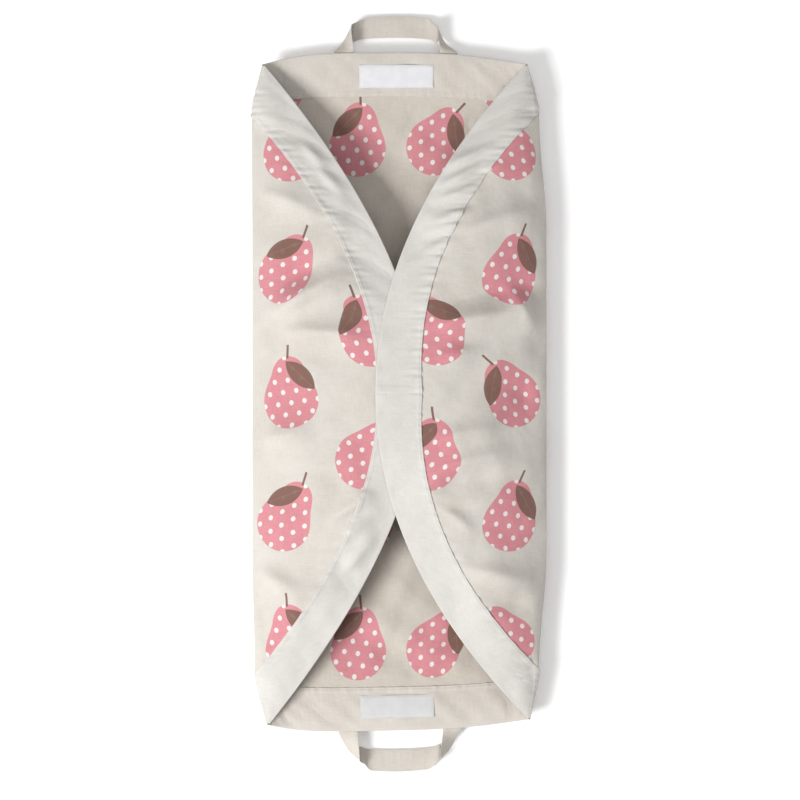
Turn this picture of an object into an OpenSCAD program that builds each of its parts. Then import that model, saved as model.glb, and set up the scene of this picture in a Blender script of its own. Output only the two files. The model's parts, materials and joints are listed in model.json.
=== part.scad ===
// A soft canvas toy bin that lies on the floor: one long sheet of printed canvas with a printed
// lining, a wide plain band round its rim, two side flaps that close over the middle and
// a carrying handle at each end.
// The bag lies along Y, its width is along X, and its underside rests at z = 0.

/* [Body] */
// Width between the two side folds
body_w = 514; // [420:1:620]
// Length from the middle of one end rim to the middle of the other
body_l = 1188; // [980:1:1430]
// How far each corner of the rim lies inside the line of the side fold
corner_inset = 25; // [0:1:40]
// How far the middle of an end rim stands out past its corners
rim_bow = 18; // [0:1:30]
// Height of the side folds above the floor
fold_h = 50; // [40:1:60]
// Height of the end rims above the floor
rim_h = 30; // [24:1:38]
// Height of the upper flap at the middle of the bag
crown_h = 118; // [98:1:145]

/* [Cloth] */
// Thickness of one ply of canvas
ply_t = 0.7; // [0.5:0.05:1]
// Clearance between plies that are sewn together
ply_gap = 0.1; // [0.05:0.05:0.2]
// Clearance under the straps and patches sewn on top of other cloth
trim_gap = 0.2; // [0.1:0.05:0.3]
// Width of the plain band round the rim
band_w = 80; // [60:1:100]
// Seam allowance of the panels inside the band
seam_in = 12; // [8:1:20]

/* [Fastenings] */
// Length of each hook or loop patch, across the bag on the end bands
patch_l = 130; // [100:1:160]
// Width of each hook or loop patch
patch_w = 39; // [30:1:50]
// Thickness of a patch on an end band
patch_t = 1.2; // [0.8:0.1:1.6]
// Distance from the end rim to the patch
patch_inset = 20; // [12:1:28]
// Thickness of each half of the closure between the flaps
strip_t = 2.1; // [1.6:0.1:2.6]

/* [Handles] */
// Width of the handle strap
strap_w = 33; // [24:1:42]
// Thickness of the handle strap
strap_t = 1.6; // [1.2:0.1:2.4]
// Distance between the middles of a handle's two legs
handle_span = 184; // [150:1:225]
// How far the middle line of a handle's grip stands out from its hinge
handle_reach = 44; // [38:1:80]
// How far each leg of a handle leans in by the time it meets the grip
handle_lean = 13; // [0:1:25]
// Length of strap sewn under the end band
sewn_l = 60; // [45:1:70]

/* [Hidden] */

canvas = "ivory";
printed = "pink";
plain = "linen";
white_tape = "white";

// Half thicknesses, measured from the middle surface of the cloth.
panel_half = ply_gap / 2 + ply_t;
band_half = panel_half + ply_gap + ply_t;

half_w = body_w / 2;
half_l = body_l / 2;
corner_x = half_w - corner_inset;
corner_y = half_l - rim_bow;
// The ends of the sheet start to rise off the floor here.
lift_y = half_l - 2 * band_w;

// The base's wall and the flap each stop this far from the line that the flap turns about.
wall_gap = 3;
flap_gap = 2;
closure_gap = 1;
// The lower flap passes under the upper one with both halves of the closure between them.
lower_crown_h = crown_h - 2 * band_half - 2 * strip_t - closure_gap;

// Share of the base's cross-section that lies flat, before the side wall curves up.
flat_share = 0.55;
wall_r = fold_h;
wall_end = flat_share + (1 - flat_share) * acos(wall_gap / fold_h) / 90;
// The side bands stop this near the rim's corners, as a share of the corner's distance.
band_end = 0.985;
join_gap = 0.0004;

function clamp(x) = min(1, max(0, x));
function smooth(x) = let (t = clamp(x)) t * t * (3 - 2 * t);
function unit(p) = p / norm(p);
function steps(a, b, n) = [for (i = [0 : n]) a + (b - a) * i / n];

// The flap's free rim at v, from -1 to 1 between the corners, measured from the middle line
// towards the flap's own fold. Its slope tells how far the band's width spreads across.
function flap_rim(v) = -band_w / 2 + (corner_x + band_w / 2) * v * v;
function band_spread(v) =
    let (slope = 2 * (corner_x + band_w / 2) * v / corner_y) sqrt(1 + slope * slope);

// Where the band has covered the whole width of the flap, found by halving the interval.
function seam_end(low = 0.4, high = 1, n = 14) =
    let (v = (low + high) / 2)
    n == 0 ? v
        : half_w - flap_rim(v) > (band_w + 1) * band_spread(v) ? seam_end(v, high, n - 1)
        : seam_end(low, v, n - 1);

// The panels stop there and the bag's outline has its shoulder there.
panel_end = seam_end();
shoulder_y = panel_end * corner_y;

// The end rim at x across the bag, and the line that each handle turns about.
function rim_y(x) = corner_y + rim_bow * (1 - pow(x / corner_x, 2));
hinge_out = 7;
leg_gap = 2;
handle_y = rim_y(handle_span / 2) + hinge_out;
leg_z = panel_half + rim_h - band_half - trim_gap - strap_t / 2;

// Half width of the bag at a distance y from its middle.
function outline(y) =
    half_w - corner_inset * pow(clamp((abs(y) - shoulder_y) / (corner_y - shoulder_y)), 1.3);

// Middle surface of the base. a runs across from one side fold to the other and v along
// from one end rim to the other, both from -1 to 1.
function base(a, v) =
    let (
        side = outline(v * corner_y),
        k = abs(a),
        turn = 90 * max(0, k - flat_share) / (1 - flat_share),
        x = min(k / flat_share, 1) * (side - wall_r) + wall_r * sin(turn),
        y = v * (corner_y + rim_bow * (1 - pow(x / side, 2))),
        ground = panel_half + rim_h * smooth((abs(y) - lift_y) / (half_l - lift_y))
    )
    [sign(a) * x, y, ground + (fold_h - ground) * (1 - cos(turn))];

// A point of the end wall at x across the bag and d in from the end rim. end is 1 or -1.
function end_wall(x, d, end) =
    let (v = 1 - d / half_l)
    base(x * flat_share / (outline(v * corner_y) - wall_r), end * v);

function flap_reach(v) = outline(v * corner_y) - flap_rim(v);

// Middle surface of a flap. side is 1 or -1, w runs from the fold to the rim, and v along.
function flap(side, top, w, v) =
    let (
        rise = (top - fold_h - flap_gap) * (1 - pow(abs(v), 3)),
        dome = pow(1 - pow(max(0, 1 - max(0, w)), 2.6), 1 / 2.2)
    )
    [side * (outline(v * corner_y) - flap_reach(v) * w), v * corner_y,
     fold_h + flap_gap + rise * dome];

// Where a line at some width in from the rim crosses the flap, as a share of its reach.
function seam_at(v, width) = max(0, 1 - width * band_spread(v) / flap_reach(v));

// Normal of a surface s(c, r), on the side that c, then r, turn about by the right-hand rule.
function normal(s, c, r) =
    let (e = 0.001, k = cross(s(c + e, r) - s(c - e, r), s(c, r + e) - s(c, r - e))) unit(k);
function raised(s, c, r, h) = s(c, r) + normal(s, c, r) * h;

// Joins two grids of points, the same size, into one closed solid. From the column turn on,
// the quads are cut along their other diagonal, as a sheet folded back on itself needs.
module skin(upper, lower, turn = 1000) {
    rows = len(upper) - 1;
    cols = len(upper[0]) - 1;
    n = (rows + 1) * (cols + 1);
    points = [for (g = [upper, lower], row = g, p = row) p];
    function at(r, c, side = 0) = side * n + r * (cols + 1) + c;
    function quad(i, j, k, l, c = 0) =
        c < turn ? [[i, j, k], [i, k, l]] : [[i, j, l], [j, k, l]];
    polyhedron(points, [
        for (r = [0 : rows - 1], c = [0 : cols - 1])
            each quad(at(r, c), at(r + 1, c), at(r + 1, c + 1), at(r, c + 1), c),
        for (r = [0 : rows - 1], c = [0 : cols - 1])
            each quad(at(r, c, 1), at(r, c + 1, 1), at(r + 1, c + 1, 1), at(r + 1, c, 1), c),
        for (c = [0 : cols - 1])
            each quad(at(0, c), at(0, c + 1), at(0, c + 1, 1), at(0, c, 1)),
        for (c = [0 : cols - 1])
            each quad(at(rows, c + 1), at(rows, c), at(rows, c, 1), at(rows, c + 1, 1)),
        for (r = [0 : rows - 1])
            each quad(at(r + 1, 0), at(r, 0), at(r, 0, 1), at(r + 1, 0, 1)),
        for (r = [0 : rows - 1])
            each quad(at(r, cols), at(r + 1, cols), at(r + 1, cols, 1), at(r, cols, 1))
    ]);
}

// One ply of cloth on a surface, between two heights above it. cols_at gives the stations
// across for each station along.
module ply(mid, cols_at, rows, high, low) {
    skin([for (r = rows) [for (c = cols_at(r)) raised(mid, c, r, high)]],
         [for (r = rows) [for (c = cols_at(r)) raised(mid, c, r, low)]]);
}

// A strip folded over the edge of the surface at its last station across, down both faces.
module folded_band(mid, cols_at, rows) {
    function ring(r, h) =
        let (
            cols = cols_at(r),
            edge = cols[len(cols) - 1],
            out = unit(mid(edge, r) - mid(edge - 0.002, r)),
            up = normal(mid, edge - 0.002, r)
        )
        concat(
            [for (c = cols) raised(mid, c, r, h)],
            [for (b = [60, 20, -20, -60]) mid(edge, r) + h * (out * cos(b) + up * sin(b))],
            [for (i = [len(cols) - 1 : -1 : 0]) raised(mid, cols[i], r, -h)]
        );
    skin([for (r = rows) ring(r, band_half)], [for (r = rows) ring(r, band_half - ply_t)],
         len(cols_at(rows[0])) + 1);
}

// Stations across the base, closer together where the wall curves.
base_cols = concat(
    steps(-wall_end, -flat_share, 7),
    [for (i = [-3 : 3]) flat_share * i / 4],
    steps(flat_share, wall_end, 7)
);

// Stations along the base: in from the end rim, the far side of the patch, the panel's edge
// inside the band and the band's seam. Everything sewn there shares them.
patch_depth = min(patch_w, band_w - seam_in - patch_inset - 4);
patch_rows = steps(patch_inset, patch_inset + patch_depth, 3);
end_rows = concat([0], patch_rows, [band_w - seam_in, band_w]);

module base_ply(high, low) {
    ends = concat(steps(lift_y / half_l, 1 - band_w / half_l, 4), [1 - (band_w - seam_in) / half_l]);
    rows = concat([for (i = [5 : -1 : 0]) -ends[i]], [-0.5, -0.25, 0, 0.25, 0.5], ends);
    ply(function(a, v) base(a, v), function(v) base_cols, rows, high, low);
}

module base_outer() {
    color(printed) base_ply(-ply_gap / 2, -panel_half);
}

module base_lining() {
    color(canvas) base_ply(panel_half, ply_gap / 2);
}

module end_band(end) {
    cols = [for (i = [len(end_rows) - 1 : -1 : 0]) 1 - end_rows[i] / half_l];
    color(plain)
        folded_band(function(c, a) base(a, end * c), function(a) cols, base_cols);
}

module end_patch(end) {
    near = band_half + trim_gap;
    far = near + patch_t;
    color(white_tape)
        ply(function(x, d) end_wall(x, d, end), function(d) steps(-patch_l / 2, patch_l / 2, 6),
            patch_rows, end > 0 ? -near : far, end > 0 ? -far : near);
}

// The two ends of a handle, sewn flat under the end band and cut square near the hinge.
module handle_ends(end) {
    near = band_half + trim_gap;
    far = near + strap_t;
    function past_rim(x) = half_l * ((handle_y - leg_gap) / rim_y(x) - 1);
    color(plain)
        for (side = [-1, 1])
            ply(function(x, d) end_wall(x, d < 0 ? d * past_rim(x) : d, end),
                function(d)
                    [for (x = steps(-strap_w / 2, strap_w / 2, 2)) side * handle_span / 2 + x],
                concat([-1, 0], patch_rows, [sewn_l]),
                end > 0 ? far : -near, end > 0 ? near : -far);
}

// Middle surface of a handle. q runs along the strap and e across it, both from -1 to 1.
// The strap leaves the end lying flat, turns over on its edge at each corner of the loop and
// lies flat again along the grip.
corner_power = 6;
grip_z = 8;
function strap(e, q, end) =
    let (
        turn = 90 * pow(sin(90 * abs(q)), 2),
        cx = pow(max(sin(turn), 0), 2 / corner_power),
        cy = pow(max(cos(turn), 0), 2 / corner_power),
        half_x = handle_span / 2 - handle_lean * smooth(cy * 1.4 - 0.1),
        out = unit([pow(cx, corner_power - 1) / half_x, pow(cy, corner_power - 1) / handle_reach]),
        twist = 180 * (1 - smooth((turn - 30) / 58)),
        half = e * strap_w / 2,
        slope_z = grip_z + (leg_z - grip_z) * (1 - smooth(cy)),
        z = norm([slope_z, strap_w / 2 * sin(twist)])
    )
    [end * (sign(q) * (half_x * cx + out[0] * cos(twist) * half)),
     end * (handle_y + leg_gap + handle_reach * cy + out[1] * cos(twist) * half),
     z - half * sin(twist)];

module handle_loop(end) {
    color(plain)
        ply(function(e, q) strap(e, q, end), function(q) [-1, 0, 1],
            [for (q = steps(-0.999, 0.999, 41)) q], strap_t / 2, -strap_t / 2);
}

// Stations across a flap are powers of even steps, so that they crowd near the fold where it
// curves most. The seam allowance inside the band has the same stations in panel and band.
fold_power = 1.8;
function seam_cols(v) =
    let (allowance = max(seam_at(v, band_w - seam_in), seam_in / (band_w + 1)))
    steps(pow(seam_at(v, band_w), 1 / fold_power), pow(allowance, 1 / fold_power), 2);
function powers(cols) = [for (c = cols) pow(c, fold_power)];
seam_rows = steps(join_gap, panel_end, 14);

// Heights above a flap's middle surface turn over with its side, so that the outside of the
// bag is always up.
module flap_ply(side, top, outside, inside) {
    rows = concat([for (i = [14 : -1 : 0]) -seam_rows[i]], seam_rows);
    cols_at = function(v)
        let (seam = seam_cols(v))
        powers(concat([for (i = [0 : 7]) seam[0] * i / 8], seam));
    ply(function(w, v) flap(side, top, w, v), cols_at, rows,
        side > 0 ? -inside : outside, side > 0 ? -outside : inside);
}

module flap_outer(side, top) {
    color(printed) flap_ply(side, top, panel_half, ply_gap / 2);
}

module flap_lining(side, top) {
    color(canvas) flap_ply(side, top, -ply_gap / 2, -panel_half);
}

// Half of a side band, from the join at the middle of the bag to one corner of the rim.
module side_band(side, top, end) {
    steps_out = [for (i = [1 : 5]) panel_end + (band_end - panel_end) * i / 5];
    rows = [for (v = concat(seam_rows, steps_out)) end * v];
    cols_at = function(v)
        let (seam = seam_cols(v), rest = steps(seam[2], 1, 6))
        powers(concat(seam, [for (i = [1 : 6]) rest[i]]));
    color(plain)
        folded_band(function(w, v) flap(side, top, w, v), cols_at,
                    end > 0 ? rows : [for (i = [len(rows) - 1 : -1 : 0]) rows[i]]);
}

// One half of the closure, on the face of the flap's band that meets the other flap.
module closure_strip(side, top, outside) {
    reach = patch_l / 2 / corner_y;
    near = outside * (band_half + trim_gap);
    far = outside * (band_half + strip_t);
    high = max(near, far);
    low = min(near, far);
    cols_at = function(v)
        [for (x = steps(patch_w / 2, -patch_w / 2, 3)) (half_w - x) / flap_reach(v)];
    color(white_tape)
        ply(function(w, v) flap(side, top, w, v), cols_at, steps(-reach, reach, 6),
            side > 0 ? -low : high, side > 0 ? -high : low);
}

base_outer();
base_lining();
end_band(1);  // head_band
end_band(-1);  // foot_band
end_patch(1);  // head_loop_patch
end_patch(-1);  // foot_hook_patch
handle_ends(1);  // head_handle_ends
handle_ends(-1);  // foot_handle_ends
handle_loop(1);  // head_handle_loop
handle_loop(-1);  // foot_handle_loop
flap_outer(-1, lower_crown_h);  // left_flap_outer
flap_lining(-1, lower_crown_h);  // left_flap_lining
side_band(-1, lower_crown_h, 1);  // left_band_head
side_band(-1, lower_crown_h, -1);  // left_band_foot
closure_strip(-1, lower_crown_h, 1);  // left_loop_strip
flap_outer(1, crown_h);  // right_flap_outer
flap_lining(1, crown_h);  // right_flap_lining
side_band(1, crown_h, 1);  // right_band_head
side_band(1, crown_h, -1);  // right_band_foot
closure_strip(1, crown_h, -1);  // right_hook_strip
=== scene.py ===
import json
import math
import bpy
import numpy as np
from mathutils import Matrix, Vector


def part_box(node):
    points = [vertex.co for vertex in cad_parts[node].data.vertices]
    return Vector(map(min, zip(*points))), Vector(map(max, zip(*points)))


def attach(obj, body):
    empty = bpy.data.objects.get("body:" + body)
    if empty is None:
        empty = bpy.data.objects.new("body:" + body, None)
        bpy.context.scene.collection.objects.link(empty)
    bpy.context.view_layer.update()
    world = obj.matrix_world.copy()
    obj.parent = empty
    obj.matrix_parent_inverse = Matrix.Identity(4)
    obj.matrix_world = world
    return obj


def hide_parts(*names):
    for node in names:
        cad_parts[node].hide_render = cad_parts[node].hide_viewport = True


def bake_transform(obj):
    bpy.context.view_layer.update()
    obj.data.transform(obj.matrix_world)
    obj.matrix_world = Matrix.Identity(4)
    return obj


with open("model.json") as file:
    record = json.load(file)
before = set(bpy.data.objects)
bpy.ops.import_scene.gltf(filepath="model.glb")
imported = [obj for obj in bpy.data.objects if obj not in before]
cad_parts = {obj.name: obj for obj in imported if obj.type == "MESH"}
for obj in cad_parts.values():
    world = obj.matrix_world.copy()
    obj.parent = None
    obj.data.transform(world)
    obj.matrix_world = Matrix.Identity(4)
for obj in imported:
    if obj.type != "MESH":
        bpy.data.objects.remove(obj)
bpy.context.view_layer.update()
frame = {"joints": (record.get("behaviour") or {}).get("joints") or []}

# ---------------------------------------------------------------------------
# Base of the outer sheet. One ply of cream cotton canvas, screen printed with
# a fruit pattern. It lies flat on the floor, rolls up into a low wall along
# each side and slopes up at the ends, where its edge is sewn into the band.
PLY = 0.0007
GAP = 0.0001
PANEL_HALF = GAP / 2 + PLY
BAND_HALF = PANEL_HALF + GAP + PLY

hinge = {j["name"]: j for j in frame["joints"]}
FOLD_X, _, FOLD_Z = hinge["right_flap_fold"]["pos_m"]
END_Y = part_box("head_band")[1].y - BAND_HALF
RIM_H = 0.030
CORNER_Y = END_Y - 0.018
BAND_W = 0.080
SEAM_IN = 0.012
SHOULDER_Y = 0.487
DRAW_Y = 0.280
LIFT_Y = END_Y - 2 * BAND_W
FLAT_SHARE = 0.55
WALL_R = FOLD_Z

# How the cloth lies, for the right (1) and left (-1) side, at the head and at the foot: how far
# the fold is drawn in at the shoulder, and the corner's distance from the middle line.
DRAWN_IN = {1: (0.013, 0.013), -1: (-0.001, 0.004)}
CORNER_X = {1: (0.223, 0.228), -1: (0.239, 0.230)}
RIM_POWER = {1: 2.05, -1: 1.75}
RIM_BOW = (0.0215, 0.0155)
BOW_POWER = {1: (2.3, 2.6), -1: (4.2, 5.0)}
SKEW = (0.001, 0.022)


def smooth(x):
    """3 x^2 - 2 x^3, with x kept between 0 and 1."""
    x = np.clip(x, 0, 1)
    return x * x * (3 - 2 * x)


def at_end(pair, y):
    """The head's value where y is positive and the foot's where it is not."""
    return np.where(y > 0, pair[0], pair[1])


def outline(side, y):
    """Half width at y: the fold line, drawn in smoothly towards the shoulder, and from there
    falling to the corner as a power of the distance past the shoulder."""
    t = np.abs(y)
    shoulder = FOLD_X - at_end(DRAWN_IN[side], y)
    past = np.clip((t - SHOULDER_Y) / (CORNER_Y - SHOULDER_Y), 0, 1.2)
    line = FOLD_X - at_end(DRAWN_IN[side], y) * smooth((t - DRAW_Y) / (SHOULDER_Y - DRAW_Y))
    return line - (shoulder - at_end(CORNER_X[side], y)) * past ** 1.3


def settle(p):
    """The bag lies a little askew: y gains a share of x that grows as the square of y."""
    skew = at_end(SKEW, p[..., 1]) * (p[..., 1] / CORNER_Y) ** 2
    return p + np.stack([0 * skew, skew * p[..., 0], 0 * skew], -1)


def bow(x, side, y0):
    """How far the rim reaches past the corners at x: its height in the middle, less a power of
    x over the half width there."""
    power = np.where(x > 0, at_end(BOW_POWER[1], y0), at_end(BOW_POWER[-1], y0))
    return at_end(RIM_BOW, y0) * (1 - np.abs(x / side) ** power)


def base_surface(a, v):
    """Middle surface of the base. Across (a from -1 to 1): flat for the first share of |a|, then
    a quarter circle up to the fold. Along (v from -1 to 1): straight, with the rim bowed
    outwards and the ground rising by a smooth step towards each end."""
    k = np.abs(a)
    y0 = v * CORNER_Y
    side = np.where(a > 0, outline(1, y0), outline(-1, y0))
    turn = math.pi / 2 * np.maximum(0, k - FLAT_SHARE) / (1 - FLAT_SHARE)
    x = np.minimum(k / FLAT_SHARE, 1) * (side - WALL_R) + WALL_R * np.sin(turn)
    x = np.sign(a) * x
    y = v * (CORNER_Y + bow(x, side, y0))
    ground = PANEL_HALF + RIM_H * smooth((np.abs(y) - LIFT_Y) / (END_Y - LIFT_Y))
    z = ground + (FOLD_Z - ground) * (1 - np.cos(turn))
    return settle(np.stack([x, y, z], -1))


def unit(p):
    """Vectors divided by their lengths."""
    return p / np.linalg.norm(p, axis=-1, keepdims=True).clip(1e-12)


def normals(surface, c, r):
    """Unit normals of surface(c, r): the cross product of its steps along c and r."""
    e = 0.001
    across = surface(c + e, r) - surface(c - e, r)
    along = surface(c, r + e) - surface(c, r - e)
    return unit(np.cross(across, along))


def ripple(s, seed, lengths, height):
    """A sum of sines of s, one for each wave length, with seeded phases, of about that height."""
    phase = np.random.default_rng(seed).uniform(0, 2 * math.pi, len(lengths))
    waves = [np.sin(2 * math.pi * s / length + p) for length, p in zip(lengths, phase)]
    return height * sum(waves) / math.sqrt(len(lengths))


def cloth(name, upper, lower, uv, material):
    """A closed sheet from two grids of points (rows, columns, 3), joined round their edges.
    uv is a grid (rows, columns, 2) of places on the flat cloth, in metres."""
    rows, cols = upper.shape[:2]
    n = rows * cols
    at = np.arange(n).reshape(rows, cols)
    a, b, c, d = at[:-1, :-1], at[:-1, 1:], at[1:, 1:], at[1:, :-1]
    top = np.stack([a, b, c, d], -1).reshape(-1, 4)
    ring = np.concatenate([at[0, :-1], at[:-1, -1], at[-1, :0:-1], at[:0:-1, 0]])
    after = np.roll(ring, -1)
    rim = np.stack([ring, ring + n, after + n, after], -1)
    faces = np.concatenate([top, top[:, ::-1] + n, rim])
    points = np.concatenate([upper.reshape(-1, 3), lower.reshape(-1, 3)])
    mesh = bpy.data.meshes.new(name)
    mesh.vertices.add(len(points))
    mesh.vertices.foreach_set("co", points.astype(np.float32).ravel())
    mesh.loops.add(faces.size)
    mesh.loops.foreach_set("vertex_index", faces.astype(np.int32).ravel())
    mesh.polygons.add(len(faces))
    mesh.polygons.foreach_set("loop_start", np.arange(0, faces.size, 4, dtype=np.int32))
    mesh.update(calc_edges=True)
    flat = np.tile(uv.reshape(-1, 2), (2, 1))[faces.ravel()]
    mesh.uv_layers.new(name="cloth").data.foreach_set("uv", flat.astype(np.float32).ravel())
    mesh.polygons.foreach_set("use_smooth", np.ones(len(faces), bool))
    mesh.set_sharp_from_angle(angle=math.radians(60))
    mesh.validate()
    piece = bpy.data.objects.new(name, mesh)
    bpy.context.scene.collection.objects.link(piece)
    mesh.materials.append(material)
    return piece


class Value:
    """One socket of a node tree. Sums, products and comparisons on it add Math nodes."""

    def __init__(self, tree, socket):
        self.tree, self.socket = tree, socket

    def add(self, kind, settings=None, inputs=None, output=0):
        """Adds a node of a kind: its settings first, then the values or links of its sockets."""
        made = self.tree.nodes.new(kind)
        for key, value in (settings or {}).items():
            setattr(made, key, value)
        for key, value in (inputs or {}).items():
            if isinstance(value, Value):
                self.tree.links.new(value.socket, made.inputs[key])
            else:
                made.inputs[key].default_value = value
        return Value(self.tree, made.outputs[output])

    def math(self, operation, *others):
        return self.add("ShaderNodeMath", {"operation": operation},
                        dict(enumerate((self,) + others)))

    def flipped(self, operation, other):
        return self.add("ShaderNodeMath", {"operation": operation}, {0: other, 1: self})

    def __add__(self, other): return self.math("ADD", other)
    def __radd__(self, other): return self.math("ADD", other)
    def __sub__(self, other): return self.math("SUBTRACT", other)
    def __rsub__(self, other): return self.flipped("SUBTRACT", other)
    def __mul__(self, other): return self.math("MULTIPLY", other)
    def __rmul__(self, other): return self.math("MULTIPLY", other)
    def __truediv__(self, other): return self.math("DIVIDE", other)
    def __neg__(self): return self.math("MULTIPLY", -1.0)
    def __abs__(self): return self.math("ABSOLUTE")

    def most(self, other): return self.math("MAXIMUM", other)
    def floor(self): return self.math("FLOOR")
    def fraction(self): return self.math("FRACT")
    def sine(self): return self.math("SINE")

    def length(self, other):
        """Square root of the sum of the two squares."""
        return (self * self + other * other).math("SQRT")

    def step(self, low, high, to_low=0.0, to_high=1.0):
        """A smooth step from to_low at low to to_high at high."""
        return self.add("ShaderNodeMapRange", {"interpolation_type": "SMOOTHSTEP"},
                        {"Value": self, "From Min": low, "From Max": high,
                         "To Min": to_low, "To Max": to_high})

    def mix(self, first, second):
        """A colour: first where this value is 0 and second where it is 1."""
        return self.add("ShaderNodeMix", {"data_type": "RGBA", "clamp_factor": True},
                        {0: self, 6: first, 7: second}, 2)


def finish_of(name, roughness, sheen=0.0):
    """An empty material with its shader, output and the cloth's own coordinates."""
    made = bpy.data.materials.new(name)
    made.use_nodes = True
    tree = made.node_tree
    shader = tree.nodes["Principled BSDF"]
    shader.inputs["Roughness"].default_value = roughness
    shader.inputs["Sheen Weight"].default_value = sheen
    shader.inputs["Sheen Roughness"].default_value = 0.6
    shader.inputs["Specular IOR Level"].default_value = 0.25
    start = Value(tree, None)
    place = start.add("ShaderNodeUVMap", {"uv_map": "cloth"})
    u = start.add("ShaderNodeSeparateXYZ", {}, {0: place})
    v = Value(tree, u.socket.node.outputs[1])
    return made, shader, place, u, v


def join(value, shader, socket):
    """Links a value to one of the shader's sockets."""
    value.tree.links.new(value.socket, shader.inputs[socket])


THREAD = 0.00062


def weave(place, u, v):
    """Plain weave: warp and weft threads as two sines that take turns, with uneven thick threads
    along each way. Returns the height of the cloth and its slubs, both about 0 to 1."""
    warp = (u * (math.pi / THREAD)).sine()
    weft = (v * (math.pi / THREAD)).sine()
    checks = warp * weft
    slubs = []
    for stretch in ((140.0, 2600.0, 1.0), (2600.0, 140.0, 1.0)):
        long_way = place.add("ShaderNodeVectorMath", {"operation": "MULTIPLY"},
                             {0: place, 1: stretch})
        slubs.append(place.add("ShaderNodeTexNoise", {"noise_dimensions": "2D"},
                               {"Vector": long_way, "Scale": 0.35, "Detail": 3.0}))
    slub = (slubs[0] + slubs[1]) * 0.5
    return abs(checks) * 0.4 + slub * 0.6, slub


def canvas_colour(place, tone, deep, slub):
    """Unbleached cotton: the tone, mottled towards a deeper one, with faint darker flecks."""
    cloudy = place.add("ShaderNodeTexNoise", {"noise_dimensions": "2D"},
                       {"Vector": place, "Scale": 9.0, "Detail": 4.0, "Roughness": 0.6})
    fleck = place.add("ShaderNodeTexNoise", {"noise_dimensions": "2D"},
                      {"Vector": place, "Scale": 420.0, "Detail": 2.0})
    share = cloudy.step(0.3, 0.75) * 0.45 + slub.step(0.60, 0.40) * 0.55
    return (fleck.step(0.66, 0.74) * 0.25).mix(share.mix(tone, deep), deep)


COLUMN = 0.143
ROW = 0.222
ROW_START = 0.003
PINK = (0.618, 0.242, 0.270, 1)
PINK_DEEP = (0.540, 0.190, 0.220, 1)
DOT_WHITE = (0.720, 0.700, 0.680, 1)
LEAF_BROWN = (0.192, 0.102, 0.078, 1)
LEAF_VEIN = (0.270, 0.160, 0.128, 1)
EDGE = 0.0004


def fruit_print(place, u, v, ground, slub):
    """The print: pears with white dots and one brown leaf, in columns that start from the middle
    of the sheet, every second column dropped by half a row, each fruit turned and mirrored in
    turn. Each outline is a distance to circles, cut to a mask. The fourth column is left bare
    towards the ends, where the band covers the cloth."""
    away = abs(u)
    column = (away / COLUMN).floor()
    odd = (column / 2).fraction() * 2
    down = v - ROW_START - odd * (ROW / 2)
    row = (down / ROW + 0.5).floor()
    right = u.math("GREATER_THAN", 0.0)
    across = away - (column + 0.5) * COLUMN
    up = down - row * ROW
    tilted = abs(((row + right) / 2).fraction() * 2)
    mirrored = 1 - 2 * (((row + column) / 2).fraction() * 2)
    c0, c1 = math.cos(math.radians(-9)), math.cos(math.radians(31))
    s0, s1 = math.sin(math.radians(-9)), math.sin(math.radians(31))
    cosine, sine = tilted * (c1 - c0) + c0, tilted * (s1 - s0) + s0
    x = (across * cosine - up * sine) * mirrored
    y = across * sine + up * cosine

    body = x.length(y + 0.017) - 0.0500
    neck = (x - 0.004).length(y - 0.036) - 0.0270
    pear = body.add("ShaderNodeMath", {"operation": "SMOOTH_MIN"},
                    {0: body, 1: neck, 2: 0.045})
    inside = pear.step(EDGE, -EDGE)

    pitch_x, pitch_y = 0.0245, 0.0205
    line = (y / pitch_y + 0.5).floor()
    stagger = (line / 2).fraction()
    dx = ((x / pitch_x + stagger).fraction() - 0.5) * pitch_x
    dy = y - line * pitch_y
    dots = (dx.length(dy * 0.86) - 0.0040).step(EDGE, -EDGE)

    turn = math.radians(-38)
    lx = (x - 0.024) * math.cos(turn) - (y - 0.026) * math.sin(turn)
    ly = (x - 0.024) * math.sin(turn) + (y - 0.026) * math.cos(turn)
    half_length, half_width = 0.036, 0.0165
    reach = (half_length ** 2 + half_width ** 2) / (2 * half_width)
    offset = reach - half_width
    leaf = (lx - offset).length(ly).most((lx + offset).length(ly)) - reach
    leaf_mask = leaf.step(EDGE, -EDGE)
    vein = (abs(lx) - 0.0005).step(EDGE, -EDGE) * (leaf + 0.004).step(EDGE, -EDGE)
    stalk = (abs(x - 0.006 - (y - 0.06) * 0.25) - 0.0021).most(abs(y - 0.071) - 0.012)
    stalk_mask = stalk.step(EDGE, -EDGE)

    bare = away.step(3 * COLUMN - EDGE, 3 * COLUMN + EDGE) * abs(v).step(0.220, 0.221)
    shown = 1 - bare
    inside = inside * shown
    worn = slub.step(0.35, 0.65)
    ink = (worn * 0.5 + 0.1).mix(PINK, PINK_DEEP)
    colour = (inside * (0.93 + worn * 0.07)).mix(ground, ink)
    colour = (inside * dots * 0.97).mix(colour, DOT_WHITE)
    brown = (vein * 0.8).mix(LEAF_BROWN, LEAF_VEIN)
    return (leaf_mask.most(stalk_mask) * shown * 0.96).mix(colour, brown)


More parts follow.
